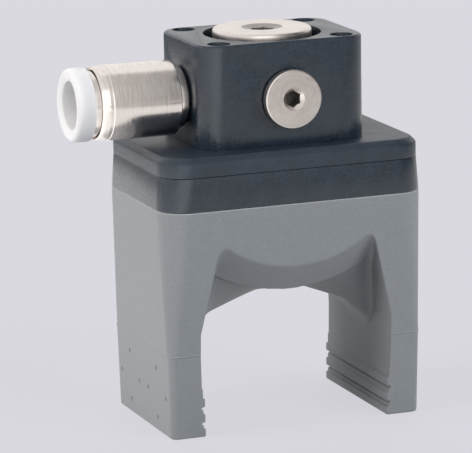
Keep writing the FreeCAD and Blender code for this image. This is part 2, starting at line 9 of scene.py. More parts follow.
import bmesh
import bpy
import numpy as np
from mathutils import Matrix, Vector


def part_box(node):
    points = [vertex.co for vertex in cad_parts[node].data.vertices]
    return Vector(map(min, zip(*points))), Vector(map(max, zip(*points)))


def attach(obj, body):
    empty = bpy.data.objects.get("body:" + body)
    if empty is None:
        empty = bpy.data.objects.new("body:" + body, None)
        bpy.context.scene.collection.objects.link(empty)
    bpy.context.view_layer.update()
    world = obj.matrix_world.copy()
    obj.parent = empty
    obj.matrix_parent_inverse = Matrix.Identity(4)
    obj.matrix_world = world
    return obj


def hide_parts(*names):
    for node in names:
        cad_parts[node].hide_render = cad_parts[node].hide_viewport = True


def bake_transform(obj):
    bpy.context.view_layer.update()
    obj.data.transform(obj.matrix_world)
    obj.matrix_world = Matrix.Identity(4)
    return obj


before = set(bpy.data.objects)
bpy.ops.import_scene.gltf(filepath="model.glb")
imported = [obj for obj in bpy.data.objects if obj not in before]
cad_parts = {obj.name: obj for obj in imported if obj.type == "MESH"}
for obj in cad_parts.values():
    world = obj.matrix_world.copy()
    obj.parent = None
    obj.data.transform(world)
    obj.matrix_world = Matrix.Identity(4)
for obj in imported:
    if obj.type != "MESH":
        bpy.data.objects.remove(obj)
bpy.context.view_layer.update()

# Camera
# A long lens looks at the corner between the front face and the side with the tube fitting,
# from slightly above, as in the photograph.
MM = 0.001
CAMERA_AT = (-180.9, -462.6, 81.5)
CAMERA_TURN = 20.89
CAMERA_TILT = 12.38
CAMERA_ROLL = -1.03
LENS = 277.0
SENSOR = 36.0
CLIP_NEAR = 20.0
CLIP_FAR = 20000.0

camera = bpy.data.objects.new("camera", bpy.data.cameras.new("camera"))
camera.data.sensor_width = SENSOR
camera.data.lens = LENS
camera.data.clip_start = CLIP_NEAR * MM
camera.data.clip_end = CLIP_FAR * MM
turn, tilt, roll = (math.radians(angle) for angle in (CAMERA_TURN, CAMERA_TILT, CAMERA_ROLL))
away = Vector((-math.sin(turn) * math.cos(tilt), -math.cos(turn) * math.cos(tilt), math.sin(tilt)))
level_right = Vector((math.cos(turn), -math.sin(turn), 0.0))
level_up = away.cross(level_right)
right = level_right * math.cos(roll) + level_up * math.sin(roll)
up = level_up * math.cos(roll) - level_right * math.sin(roll)
camera.matrix_world = Matrix.Translation(Vector(CAMERA_AT) * MM) @ Matrix(
    (right, up, away)).transposed().to_4x4()
bpy.context.scene.collection.objects.link(camera)
bpy.context.scene.camera = camera
bpy.context.scene.view_settings.view_transform = "Standard"

# Floor and light
# The gripper stands on its fingertips on a plain pale floor, under three broad soft lamps. Its
# shiny parts mirror a pale table top, a bright screen behind it, a soft box in front on the left
# and a room in front that darkens to the right.
FLOOR_SIZE = 12.0
FLOOR_GAP = 0.00002
FLOOR_MATT = 0.9
FLOOR_GLOSS = 0.1

# The camera sees the backdrop in a plain colour, and the floor as part glow and part paint, which
# keeps the shadow. The colour that the floor throws back is paler away from the gripper.
FLOOR_COLOUR = (0.38, 0.39, 0.41)
FLOOR_SHOWN = (0.815, 0.80, 0.861)
FLOOR_GLOW = 0.75
BACKDROP_COLOUR = (0.70, 0.69, 0.74)
BOUNCE_FROM = (0.03, 0.12)
BOUNCE_NEAR = (0.06, 0.062, 0.066)
BOUNCE_FAR = (0.62, 0.63, 0.66)

# The table in the mirror: the places where it begins and ends, its shine at the back, its shades
# to the left and right, and how the part in front of the gripper darkens to the right and far off.
MIRRORED_COLOUR = (1.0, 0.99, 0.98)
TABLE_FRONT = (-0.207, -0.195)
TABLE_BACK = (0.225, 0.30)
TABLE_SHINE = (1.9, 0.2)
TABLE_LEFT = (-0.11, -0.07)
LEFT_SHADE = 0.61
TABLE_RIGHT = (-0.045, -0.01)
RIGHT_SHADE = 0.48
FRONT_TABLE = (0.045, 0.10)
FRONT_SHINE = (0.85, 0.10)
FAR_FROM = (0.28, 0.45)
FAR_SHINE = 0.58

# The soft box, the room in front and the screen behind, by their directions from the gripper, and
# the foot of the soft box by its place on the floor.
BOX_SHINE = 1.65
BOX_LEFT = (0.22, 0.08)
BOX_FRONT = (-0.45, -0.75)
BOX_FOOT_LEFT = (0.035, -0.01)
BOX_FOOT_FRONT = (-0.13, -0.175)
ROOM_COLOUR = (0.87, 0.95, 1.07)
ROOM_LEVEL = 0.25
FRONT_ROOM = (0.0, 0.70)
SCREEN_BACK = (0.10, 0.26)
SCREEN_SHINE = 0.98

# Each lamp's direction, power, spread in degrees and colour.
LAMPS = {
    "key": {"from": (-1.0, 0.0, 0.5), "power": 2.25, "spread": 32.0, "colour": (1.0, 0.955, 0.94)},
    "back": {"from": (0.3, 1.0, 0.8), "power": 0.9, "spread": 45.0, "colour": (1.0, 0.98, 0.97)},
    "fill": {"from": (0.6, -0.8, 0.35), "power": 1.98, "spread": 48.0, "colour": (0.98, 0.98, 1.0)},
}


def linked(mesh, name):
    """A new object for a mesh, in the scene."""
    item = bpy.data.objects.new(name, mesh)
    bpy.context.scene.collection.objects.link(item)
    return item


def new_material(name):
    """A material with its node tree and its Principled shader."""
    material = bpy.data.materials.new(name)
    material.use_nodes = True
    return material, material.node_tree, material.node_tree.nodes["Principled BSDF"]


def feed(tree, node, values):
    """Set a node's inputs, or link them to the outputs given for them."""
    for name, value in values.items():
        socket = node.inputs[name]
        if isinstance(value, bpy.types.NodeSocket):
            tree.links.new(value, socket)
        elif socket.type == "RGBA":
            socket.default_value = (*value, 1.0)
        else:
            socket.default_value = value
    return node


def added(tree, kind, values):
    """A new node with its inputs fed."""
    return feed(tree, tree.nodes.new(kind), values)


def between(tree, value, low, high, first, last):
    """Map a value from one span to another; the second span may be one of colours."""
    if isinstance(first, tuple):
        ramp = added(tree, "ShaderNodeValToRGB", {"Fac": value})
        for element, position, colour in zip(ramp.color_ramp.elements, (low, high), (first, last)):
            element.position = position
            element.color = (*colour, 1.0)
        return ramp.outputs["Color"]
    return added(tree, "ShaderNodeMapRange", {
        "Value": value, "From Min": low, "From Max": high, "To Min": first, "To Max": last,
    }).outputs["Result"]


def maths(tree, operation, first, last=0.0):
    """One step of arithmetic on one or two values."""
    node = tree.nodes.new("ShaderNodeMath")
    node.operation = operation
    return feed(tree, node, {0: first, 1: last}).outputs["Value"]


def vector_maths(tree, operation, first, last=(0.0, 0.0, 0.0)):
    """One step of arithmetic on one or two vectors; gives the node."""
    node = tree.nodes.new("ShaderNodeVectorMath")
    node.operation = operation
    return feed(tree, node, {0: first, 1: last})


def mixture(tree, share, first, last):
    """A value between two others, or a colour where the second is a plain colour."""
    node = tree.nodes.new("ShaderNodeMix")
    if isinstance(last, tuple):
        node.data_type = "RGBA"
    return feed(tree, node, {"Factor": share, "A": first, "B": last}).outputs["Result"]


def glow_for(tree, surface, kind, seen, colour, strength):
    """Show a glow in place of a surface, for one kind of ray."""
    glow = added(tree, kind, {"Color": colour, "Strength": strength})
    return added(tree, "ShaderNodeMixShader", {
        "Fac": seen, 1: surface, 2: glow.outputs[0]}).outputs[0]


def object_place(tree):
    """Texture coordinates that stay with the piece."""
    return tree.nodes.new("ShaderNodeTexCoord").outputs["Object"]


def parts_of(tree, place):
    """The three parts of a vector."""
    return added(tree, "ShaderNodeSeparateXYZ", {0: place}).outputs


half = FLOOR_SIZE / 2
stand_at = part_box("left_finger")[0].z - FLOOR_GAP
outline = ((-half, -half), (half, -half), (half, half), (-half, half))
floor_mesh = bpy.data.meshes.new("floor")
floor_mesh.from_pydata([(x, y, stand_at) for x, y in outline], [], [range(len(outline))])
floor = linked(floor_mesh, "floor")
floor_paint, tree, shader = new_material("floor_paint")
rays = tree.nodes.new("ShaderNodeLightPath").outputs
place = object_place(tree)
at = parts_of(tree, place)
distance = vector_maths(tree, "LENGTH", place).outputs["Value"]
bounce = between(tree, distance, *BOUNCE_FROM, BOUNCE_NEAR, BOUNCE_FAR)
feed(tree, shader, {
    "Base Color": mixture(tree, rays["Is Camera Ray"], bounce, FLOOR_COLOUR),
    "Roughness": FLOOR_MATT, "Specular IOR Level": FLOOR_GLOSS})
front = mixture(tree, between(tree, distance, *FAR_FROM, 0.0, 1.0),
                between(tree, at["X"], *FRONT_TABLE, *FRONT_SHINE), FAR_SHINE)
back = maths(tree, "MULTIPLY", between(tree, at["Y"], *TABLE_BACK, *TABLE_SHINE),
             between(tree, at["X"], *TABLE_RIGHT, 1.0, RIGHT_SHADE))
table = mixture(tree, between(tree, at["Y"], *TABLE_FRONT, 0.0, 1.0), front, back)
table = maths(tree, "MULTIPLY", table, between(tree, at["X"], *TABLE_LEFT, LEFT_SHADE, 1.0))
box_foot = maths(tree, "MULTIPLY", between(tree, at["X"], *BOX_FOOT_LEFT, 0.0, BOX_SHINE),
                 between(tree, at["Y"], *BOX_FOOT_FRONT, 0.0, 1.0))
surface = glow_for(tree, shader.outputs[0], "ShaderNodeEmission",
                   maths(tree, "MULTIPLY", rays["Is Camera Ray"], FLOOR_GLOW), FLOOR_SHOWN, 1.0)
surface = glow_for(tree, surface, "ShaderNodeEmission", rays["Is Glossy Ray"], MIRRORED_COLOUR,
                   maths(tree, "MAXIMUM", table, box_foot))
feed(tree, tree.nodes["Material Output"], {"Surface": surface})
floor.data.materials.append(floor_paint)

for name, lamp in LAMPS.items():
    light = bpy.data.objects.new(name, bpy.data.lights.new(name, "SUN"))
    light.data.energy = lamp["power"]
    light.data.angle = math.radians(lamp["spread"])
    light.data.color = lamp["colour"]
    light.visible_glossy = False
    light.rotation_mode = "QUATERNION"
    light.rotation_quaternion = Vector(lamp["from"]).to_track_quat("Z", "Y")
    bpy.context.scene.collection.objects.link(light)

world = bpy.data.worlds.new("room")
bpy.context.scene.world = world
world.use_nodes = True
tree = world.node_tree
room = feed(tree, tree.nodes["Background"], {"Color": ROOM_COLOUR, "Strength": ROOM_LEVEL})
rays = tree.nodes.new("ShaderNodeLightPath").outputs
facing = parts_of(tree, tree.nodes.new("ShaderNodeTexCoord").outputs["Generated"])
box = maths(tree, "MULTIPLY", between(tree, facing["X"], *BOX_LEFT, 0.0, BOX_SHINE),
            between(tree, facing["Y"], *BOX_FRONT, 0.0, 1.0))
screens = mixture(tree, between(tree, facing["Y"], *SCREEN_BACK, 0.0, 1.0),
                  between(tree, facing["X"], *FRONT_ROOM, *FRONT_SHINE), SCREEN_SHINE)
surface = glow_for(tree, room.outputs[0], "ShaderNodeBackground", rays["Is Glossy Ray"],
                   MIRRORED_COLOUR, maths(tree, "MAXIMUM", screens, box))
surface = glow_for(tree, surface, "ShaderNodeBackground", rays["Is Camera Ray"],
                   BACKDROP_COLOUR, 1.0)
feed(tree, tree.nodes["World Output"], {"Surface": surface})

# Port block, cover plate and clamp ring
# Three parts of one blue-black printed polymer with a fine mottled grain and faint dark strokes;
# handling has rounded their edges a little. A rubber ring seals the block, and four steel screws
# from inside hold it to the cover.
PRINTED_COLOUR = (0.008, 0.016, 0.028)
PRINTED_PALE = (0.020, 0.033, 0.050)
PRINTED_DARK = (0.004, 0.008, 0.014)
PRINTED_SHINE = 0.72
PRINTED_GRAIN = 3120.0
MOTTLE_COARSER = 7.0
MOTTLE_SPAN = (0.36, 0.68)
MOTTLE_SHARE = 0.5
STROKE_FINER = 2.3
STROKE_LONG = 4.0
STROKE_SPAN = (0.5, 0.62)
PATCH_COARSER = 16.0
PATCH_SPAN = (0.42, 0.56)
PATCH_LEAST = 0.1
STROKE_RELIEF = (0.4, -0.02)
GRAIN_SPAN = (0.3, 0.7)
GRAIN_HEIGHT = 0.025
EDGE_WEAR = 0.2
WEAR_SEGMENTS = 4
SHARP_FROM = 35.0
WELD = 0.0005
FLAT_WITHIN = 0.4

# Each printed part's roughness and grain, the turn and depth of its strokes, and where it has a
# shoulder, that level and how round the edges above it are.
PRINTED = {
    "port_block": {"piece": "block_body", "gloss": (0.25, 0.37), "relief": 1.1,
                   "stroke_turn": 24.0, "stroke_depth": 0.8, "shoulder": None},
    "cover_plate": {"piece": "cover_body", "gloss": (0.38, 0.52), "relief": 2.0,
                    "stroke_turn": 80.0, "stroke_depth": 0.35, "shoulder": (-15.6, 0.6)},
    "clamp_ring": {"piece": "clamp_band", "gloss": (0.24, 0.34), "relief": 0.22,
                   "stroke_turn": 80.0, "stroke_depth": 0.35, "shoulder": None},
}

# Finish of the seals and of the screws.
RUBBER_COLOUR = (0.018, 0.018, 0.019)
RUBBER_BLOOM = (0.045, 0.045, 0.047)
RUBBER_GLOSS = (0.5, 0.7)
BLOOM_GRAIN = 900.0
BLOOM_SPAN = (0.35, 0.7)
STEEL_COLOUR = (0.46, 0.46, 0.47)
STEEL_PALE = (0.62, 0.62, 0.63)
STEEL_GLOSS = (0.22, 0.4)
SCRATCH_GRAIN = 3000.0
SCRATCH_RELIEF = (0.3, 0.005)
SCREW_COUNT = 4


def noise(tree, place, scale, detail=2.0, stretch=None, turn=0.0):
    """A noise texture, stretched along a direction turned about Y where asked."""
    if stretch is not None:
        mapping = tree.nodes.new("ShaderNodeMapping")
        mapping.vector_type = "TEXTURE"
        feed(tree, mapping, {
            "Vector": place, "Scale": (1.0, 1.0, stretch), "Rotation": (0.0, math.radians(turn), 0.0)})
        place = mapping.outputs["Vector"]
    return added(tree, "ShaderNodeTexNoise", {
        "Vector": place, "Scale": scale, "Detail": detail}).outputs["Fac"]


def blended(tree, first, last, share):
    """Two patterns added up, the first with a share and the last with the rest."""
    return maths(tree, "ADD", maths(tree, "MULTIPLY", first, share),
                 maths(tree, "MULTIPLY", last, 1.0 - share))


def bump(tree, height, strength, depth, below=None):
    """Normals of a surface raised by a height texture, on top of a bump below it."""
    values = {"Height": height, "Strength": strength, "Distance": depth * MM}
    if below is not None:
        values["Normal"] = below
    return added(tree, "ShaderNodeBump", values).outputs["Normal"]


def printed_polymer(name, look):
    """Blue-black printed polymer with fine dark strokes along the print's path."""
    material, tree, shader = new_material(name)
    place = object_place(tree)
    mottle = noise(tree, place, PRINTED_GRAIN / MOTTLE_COARSER, detail=5.0)
    fine = noise(tree, place, PRINTED_GRAIN, detail=3.0)
    strokes = noise(tree, place, PRINTED_GRAIN * STROKE_FINER, detail=1.0, stretch=STROKE_LONG,
                    turn=look["stroke_turn"])
    patches = noise(tree, place, PRINTED_GRAIN / PATCH_COARSER)
    marked = maths(tree, "MULTIPLY", between(tree, strokes, *STROKE_SPAN, 0.0, look["stroke_depth"]),
                   between(tree, patches, *PATCH_SPAN, PATCH_LEAST, 1.0))
    speckled = blended(tree, mottle, fine, MOTTLE_SHARE)
    mottled = between(tree, speckled, *MOTTLE_SPAN, PRINTED_COLOUR, PRINTED_PALE)
    dents = bump(tree, marked, *STROKE_RELIEF)
    feed(tree, shader, {
        "Base Color": mixture(tree, marked, mottled, PRINTED_DARK),
        "Roughness": between(tree, fine, *GRAIN_SPAN, *look["gloss"]),
        "Specular IOR Level": PRINTED_SHINE,
        "Normal": bump(tree, fine, look["relief"], GRAIN_HEIGHT, dents)})
    return material


def seal_rubber(name):
    """Black rubber, matt, with a faint bloom."""
    material, tree, shader = new_material(name)
    bloom = noise(tree, object_place(tree), BLOOM_GRAIN, detail=4.0)
    feed(tree, shader, {
        "Base Color": between(tree, bloom, *BLOOM_SPAN, RUBBER_COLOUR, RUBBER_BLOOM),
        "Roughness": between(tree, bloom, *GRAIN_SPAN, *RUBBER_GLOSS)})
    return material


def bright_steel(name):
    """Plain steel with fine scratches."""
    material, tree, shader = new_material(name)
    scratches = noise(tree, object_place(tree), SCRATCH_GRAIN, detail=3.0)
    feed(tree, shader, {
        "Metallic": 1.0,
        "Base Color": between(tree, scratches, *GRAIN_SPAN, STEEL_COLOUR, STEEL_PALE),
        "Roughness": between(tree, scratches, *GRAIN_SPAN, *STEEL_GLOSS),
        "Normal": bump(tree, scratches, *SCRATCH_RELIEF)})
    return material


def merged_copy(node, name):
    """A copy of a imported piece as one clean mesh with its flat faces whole."""
    form = bmesh.new()
    form.from_mesh(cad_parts[node].data)
    bmesh.ops.remove_doubles(form, verts=form.verts, dist=WELD * MM)
    bmesh.ops.dissolve_limit(form, angle_limit=math.radians(FLAT_WITHIN), verts=form.verts,
                             edges=form.edges)
    mesh = bpy.data.meshes.new(name)
    form.to_mesh(mesh)
    form.free()
    return mesh


def worn_copy(node, name, shoulder):
    """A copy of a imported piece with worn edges, more rounded above its shoulder if it has one."""
    piece = linked(merged_copy(node, name), name)
    form = bmesh.new()
    form.from_mesh(piece.data)
    weight = form.edges.layers.float.new("bevel_weight_edge")
    level, broad = shoulder or (0.0, EDGE_WEAR)
    for line in form.edges:
        if line.calc_face_angle(0.0) > math.radians(SHARP_FROM):
            above = min(vertex.co.z for vertex in line.verts) > level * MM
            line[weight] = 1.0 if above else EDGE_WEAR / broad
    form.to_mesh(piece.data)
    form.free()
    wear = piece.modifiers.new("wear", "BEVEL")
    wear.width = broad * MM
    wear.segments = WEAR_SEGMENTS
    wear.limit_method = "WEIGHT"
    wear.harden_normals = True
    piece.data.shade_smooth()
    return piece


def put(piece, node, body, material):
    """Hand a finished piece over in place of a packed one."""
    piece.data.materials.clear()
    piece.data.materials.append(material)
    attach(piece, body)
    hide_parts(node)


def finish_inner(material, *nodes):
    """Give packed inner pieces a finish."""
    for node in nodes:
        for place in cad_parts[node].material_slots:
            place.material = material


for node, look in PRINTED.items():
    put(worn_copy(node, look["piece"], look["shoulder"]), node, "base",
        printed_polymer(f"{look['piece']}_polymer", look))
rubber = seal_rubber("seal_rubber")
steel = bright_steel("screw_steel")
finish_inner(rubber, "block_seal")
finish_inner(steel, *(f"cover_screw_{number + 1}" for number in range(SCREW_COUNT)))

# Moulding
# One hollow casting of grey elastomer, matt and faintly grained: a body that tapers into two
# fingers, with an arch between them that runs back to a web. The mould left a flash line around
# the fingers and small vent dimples in their outer faces; ribs inside the tips give grip.

# The body and the tips have their sizes at a lower and an upper level. The neck, which the clamp
# ring holds, has one plan: half its length, half its width and its corners.
BODY_LEVELS = (-42.05, -21.85)
BODY_HALF_X = (18.7, 19.3)
BODY_HALF_Y = (11.375, 12.7)
BODY_CORNER = (1.35, 4.0)
SHOULDER_ROUND = 0.15
TIP_LEVELS = (-53.75, -42.05)
TIP_HALF_X = (18.4, 18.64)
TIP_HALF_Y = (11.1, 11.315)
TIP_CORNER = 1.0
TIP_ROUND = 0.3
TIP_OVERLAP = 1.0
NECK_PLAN = (17.35, 10.85, 2.35)
NECK_LEVELS = (-22.5, -17.15)
FLASH_PROUD = 0.12
FLASH_HALF = 0.09

# The rounding of the arch's edge changes with height, and that of the corner between the arch
# and the grip with the distance from the middle plane.
EDGE_LEVELS = (-44.5, -41.5)
EDGE_ROUND = (0.22, 0.18)
CORNER_FILL_FROM = (4.2, 8.0, 8.9, 9.1)
CORNER_FILL = (0.8, 1.2, 1.2, 1.6)

# The arch hangs as one arc at the face and a lower one at a crease, each with its lowest level
# and its radius. Behind the crease it slopes to the web, a line of straight stretches.
FACE_ARCH = (-30.75, 18.2)
CREASE_ARCH = (-34.55, 22.0)
ARCH_DEPTHS = (4.2, 9.0, 12.1)
ARCH_SOFT = 0.12
CREASE_SOFT = 0.03
CREASE_RECESS = 0.35
CREASE_STEP = 0.22
WEB_BENDS = ((0.0, -35.45), (3.35, -35.45), (10.2, -38.25), (14.1, -42.0))
WEB_SOFT = 0.12
WEB_BEYOND = 0.5
SLOPE_PROBE = 0.02

# The gap between the fingers and the grip ribs in it.
INNER_LEVELS = (-53.75, -46.98, -46.9, -42.05, -39.2, -17.0)
INNER_HALF = (13.74, 13.85, 13.97, 14.1, 14.1, 9.016)
RIB_TOPS = (-48.28, -50.47, -52.52)
RIB_CREST = 1.1
RIB_STEP = 0.12
RIB_RETURN = 0.16
RIB_HEIGHT = 0.27
GROOVE_DEPTH = 0.26
GROOVE_WIDTH = 0.42

# Grid of the casting's mesh: where each span starts and its step, finer where the form is fine.
GRID_X = ((-0.6, 0.3), (9.0, 0.15), (15.0, 0.3), (19.8, 0.3))
GRID_Y = ((-12.9, 0.1), (-10.9, 0.2), (-9.3, 0.1), (-8.6, 0.34), (8.6, 0.1), (9.3, 0.2),
          (10.9, 0.1), (12.9, 0.1))
GRID_Z = ((-53.95, 0.1), (-46.7, 0.25), (-42.25, 0.045), (-41.85, 0.25), (-32.0, 0.15),
          (-26.0, 0.3), (-22.1, 0.06), (-21.7, 0.4), (-16.9, 0.4))
SAME_PLACE = 0.0001
CREASE_FROM = 60.0

# Vent dimples: two diamonds side by side on each outer face, one dimple at each corner.
DIAMOND_COUNT = 2
DIAMOND_CORNERS = 4
DIMPLE_SIZE = 0.86
DIMPLE_SPREAD = (3.6, 3.55)
DIMPLE_PITCH = 10.8
DIMPLE_AT = (18.71, -48.3)
DIMPLE_LEAN = 1.175
BALL_DIVISIONS = 4

# Finish of the elastomer, with two pale lines given by level, half width and paleness: painted
# highlights along the flash bead and the clamped rim.
ELASTOMER_COLOUR = (0.236, 0.252, 0.261)
ELASTOMER_SPECK = (0.276, 0.293, 0.302)
ELASTOMER_HIGHLIGHT = (0.50, 0.51, 0.515)
ELASTOMER_GRAIN = 3200.0
ELASTOMER_SPAN = (0.35, 0.65)
ELASTOMER_GLOSS = (0.5, 0.62)
ELASTOMER_RELIEF = (0.4, 0.02)
ELASTOMER_SHINE = 0.82
CLOUD_COARSER = 5.0
FINE_SHARE = 0.75
FLASH_HIGHLIGHT = (-42.05, 0.09, 0.2)
CLAMPED_HIGHLIGHT = (-21.89, 0.11, 0.75)
HIGHLIGHT_FADE = 0.4
HIGHLIGHT_FROM = (13.8, 14.4)
REST = "rest"


def round_max(first, last, radius):
    """The greater of two distances, with the corner between them rounded."""
    beyond = np.hypot(np.maximum(first + radius, 0.0), np.maximum(last + radius, 0.0))
    return np.minimum(-radius, np.maximum(first, last)) + beyond


def soft_min(first, last, width):
    """The lesser of two heights, blended near their crossing."""
    return (first + last - np.hypot(first - last, width)) / 2


def rounded_plan(x, y, half_x, half_y, corner):
    """Distance to a rounded rectangle."""
    over_x = np.abs(x) - half_x + corner
    over_y = np.abs(y) - half_y + corner
    outside = np.hypot(np.maximum(over_x, 0.0), np.maximum(over_y, 0.0))
    return outside + np.minimum(np.maximum(over_x, over_y), 0.0) - corner


def outer_shape(x, y, z):
    """Distance to the outside of the casting."""
    half_x, half_y, corner = (np.interp(z, BODY_LEVELS, ends)
                              for ends in (BODY_HALF_X, BODY_HALF_Y, BODY_CORNER))
    body = round_max(rounded_plan(x, y, half_x, half_y, corner), z - BODY_LEVELS[1],
                     SHOULDER_ROUND)
    body = np.maximum(body, BODY_LEVELS[0] - z)
    half_x, half_y = (np.interp(z, TIP_LEVELS, ends) for ends in (TIP_HALF_X, TIP_HALF_Y))
    flash = FLASH_PROUD * np.maximum(1.0 - ((z - TIP_LEVELS[1]) / FLASH_HALF) ** 2, 0.0)
    tips = rounded_plan(x, y, half_x, half_y, TIP_CORNER) - flash
    tips = round_max(tips, TIP_LEVELS[0] - z, TIP_ROUND)
    tips = np.maximum(tips, z - TIP_LEVELS[1] - TIP_OVERLAP)
    neck = np.maximum(rounded_plan(x, y, *NECK_PLAN), NECK_LEVELS[0] - z)
    neck = np.maximum(neck, z - NECK_LEVELS[1])
    return np.minimum(np.minimum(body, tips), neck)


def hanging(arch, x):
    """Height of a hanging arc."""
    low, radius = arch
    return low + radius - np.sqrt(radius ** 2 - x ** 2)


def ceiling(x, y):
    """Height of the arch: from the face to a crease, then on to the web."""
    x = np.minimum(np.abs(x), WEB_BENDS[-1][0] + WEB_BEYOND)
    web = np.full_like(x, WEB_BENDS[0][1])
    for (start, high), (end, low) in zip(WEB_BENDS[1:], WEB_BENDS[2:]):
        web = soft_min(web, high + (x - start) * (low - high) / (end - start), WEB_SOFT)
    crease = hanging(CREASE_ARCH, x)
    web_at, crease_at, face_at = ARCH_DEPTHS
    inward = (np.abs(y) - web_at) / (crease_at - web_at)
    inward = soft_min(-soft_min(-inward, 0.0, ARCH_SOFT), 1.0, CREASE_SOFT)
    outward = np.maximum((np.abs(y) - crease_at) / (face_at - crease_at), 0.0)
    recess = CREASE_RECESS * np.clip((crease_at - np.abs(y)) / CREASE_STEP, 0.0, 1.0)
    return web + (crease + recess - web) * inward + (hanging(FACE_ARCH, x) - crease) * outward


def below_ceiling(x, y, z):
    """Distance to the arch, true where it slopes along the grip."""
    rise = ceiling(x + SLOPE_PROBE, y) - ceiling(x - SLOPE_PROBE, y)
    return (z - ceiling(x, y)) / np.hypot(1.0, rise / (2 * SLOPE_PROBE))


def inner_half(z):
    """Half the gap between the fingers, less the grip ribs."""
    half = np.interp(z, INNER_LEVELS, INNER_HALF)
    rib = np.zeros_like(z)
    for top in RIB_TOPS:
        below = top - z
        rise = np.clip(below / RIB_STEP, 0.0, 1.0)
        fall = np.clip((RIB_CREST + RIB_RETURN - below) / RIB_RETURN, 0.0, 1.0)
        rib = rib + RIB_HEIGHT * np.sqrt(rise) * fall
        middle = RIB_CREST + RIB_RETURN + GROOVE_WIDTH / 2 - RIB_STEP / 2
        groove = np.clip(1.0 - np.abs(below - middle) / (GROOVE_WIDTH / 2), 0.0, 1.0)
        rib = rib - GROOVE_DEPTH * np.minimum(groove * 2, 1.0)
    return half - rib


def casting(x, y, z):
    """Distance to the casting, below zero inside it."""
    fill = np.interp(np.abs(y), CORNER_FILL_FROM, CORNER_FILL)
    space = round_max(below_ceiling(x, y, z), np.abs(x) - inner_half(z), fill)
    return round_max(outer_shape(x, y, z), -space, np.interp(z, EDGE_LEVELS, EDGE_ROUND))


def grid_line(spans):
    """Grid places along one axis, each span from its start with its own step."""
    parts = [np.linspace(start, end, round((end - start) / step), endpoint=False)
             for (start, step), (end, _) in zip(spans, spans[1:])]
    return np.concatenate([*parts, [spans[-1][0]]])


def skin_of(field, grid):
    """Points and quads of the surface where a field is zero, one point per crossed cell."""
    values = field(*np.meshgrid(*grid, indexing="ij"))
    inside = values < 0
    sizes = [len(line) - 1 for line in grid]
    corners = [(a, b, c) for a in (0, 1) for b in (0, 1) for c in (0, 1)]

    def at_corner(array, corner):
        return array[tuple(slice(k, k + n) for k, n in zip(corner, sizes))]

    # A crossed cell has corners on both sides; its point is the mean of its edges' crossings.
    count = sum(at_corner(inside, corner).astype(int) for corner in corners)
    cells = np.argwhere((count > 0) & (count < len(corners)))
    number = np.full(sizes, -1)
    number[tuple(cells.T)] = np.arange(len(cells))
    total = np.zeros((len(cells), 3))
    crossings = np.zeros(len(cells))
    for low in corners:
        for axis in range(3):
            if low[axis]:
                continue
            high = tuple(value + (k == axis) for k, value in enumerate(low))
            first, last = cells + low, cells + high
            ends = values[tuple(first.T)], values[tuple(last.T)]
            crossed = (ends[0] < 0) != (ends[1] < 0)
            share = np.where(crossed, ends[0] / np.where(crossed, ends[0] - ends[1], 1.0), 0.0)
            place = np.stack([line[first[:, k]] + share * (line[last[:, k]] - line[first[:, k]])
                              for k, line in enumerate(grid)], axis=1)
            total += place * crossed[:, None]
            crossings += crossed
    points = total / crossings[:, None]

    # Each crossed edge of the grid gives one quad between the four cells around it.
    quads = []
    for axis in range(3):
        turn = [(axis + 1) % 3, (axis + 2) % 3]
        low = np.take(inside, range(sizes[axis]), axis=axis)
        high = np.take(inside, range(1, sizes[axis] + 1), axis=axis)
        edges = np.argwhere(low != high)
        keep = np.all([(edges[:, k] > 0) & (edges[:, k] < sizes[k]) for k in turn], axis=0)
        edges = edges[keep]
        ring = []
        for back in ((1, 1), (0, 1), (0, 0), (1, 0)):
            cell = edges.copy()
            cell[:, turn[0]] -= back[0]
            cell[:, turn[1]] -= back[1]
            ring.append(number[tuple(cell.T)])
        quad = np.stack(ring, axis=1)
        flip = ~low[tuple(edges.T)]
        quad[flip] = quad[flip][:, ::-1]
        quads.append(quad)
    return points, np.concatenate(quads)


def settled(points, field, rounds=4, probe=0.01, reach=0.08, least=0.1):
    """Points moved onto the surface along the field's slope."""
    for _ in range(rounds):
        slope = np.stack([field(*(points + shift).T) - field(*(points - shift).T)
                          for shift in np.eye(3) * probe], axis=1) / (2 * probe)
        steepness = np.maximum((slope ** 2).sum(axis=1), least)
        move = field(*points.T)[:, None] * slope / steepness[:, None]
        points = points - np.clip(move, -reach, reach)
    return points


def half_casting(name, points, quads):
    """Mesh of the half of the casting on the +X side, closed along the middle."""
    mesh = bpy.data.meshes.new(name)
    mesh.from_pydata(points * MM, [], quads.tolist())
    form = bmesh.new()
    form.from_mesh(mesh)
    bmesh.ops.bisect_plane(form, geom=[*form.verts, *form.edges, *form.faces],
                           dist=SAME_PLACE * MM, plane_co=(0, 0, 0), plane_no=(1, 0, 0),
                           clear_inner=True)
    open_edges = [edge for edge in form.edges if edge.is_boundary]
    bmesh.ops.contextual_create(form, geom=open_edges)
    bmesh.ops.recalc_face_normals(form, faces=form.faces)
    form.to_mesh(mesh)
    form.free()
    return mesh


def painted_highlight_line(tree, height, line):
    """A pale line of painted highlight around the casting at one level, faded at its edges."""
    at, half_width, paleness = line
    off = maths(tree, "ABSOLUTE", maths(tree, "SUBTRACT", height, at * MM))
    return between(tree, off, half_width * MM * HIGHLIGHT_FADE, half_width * MM, paleness, 0.0)


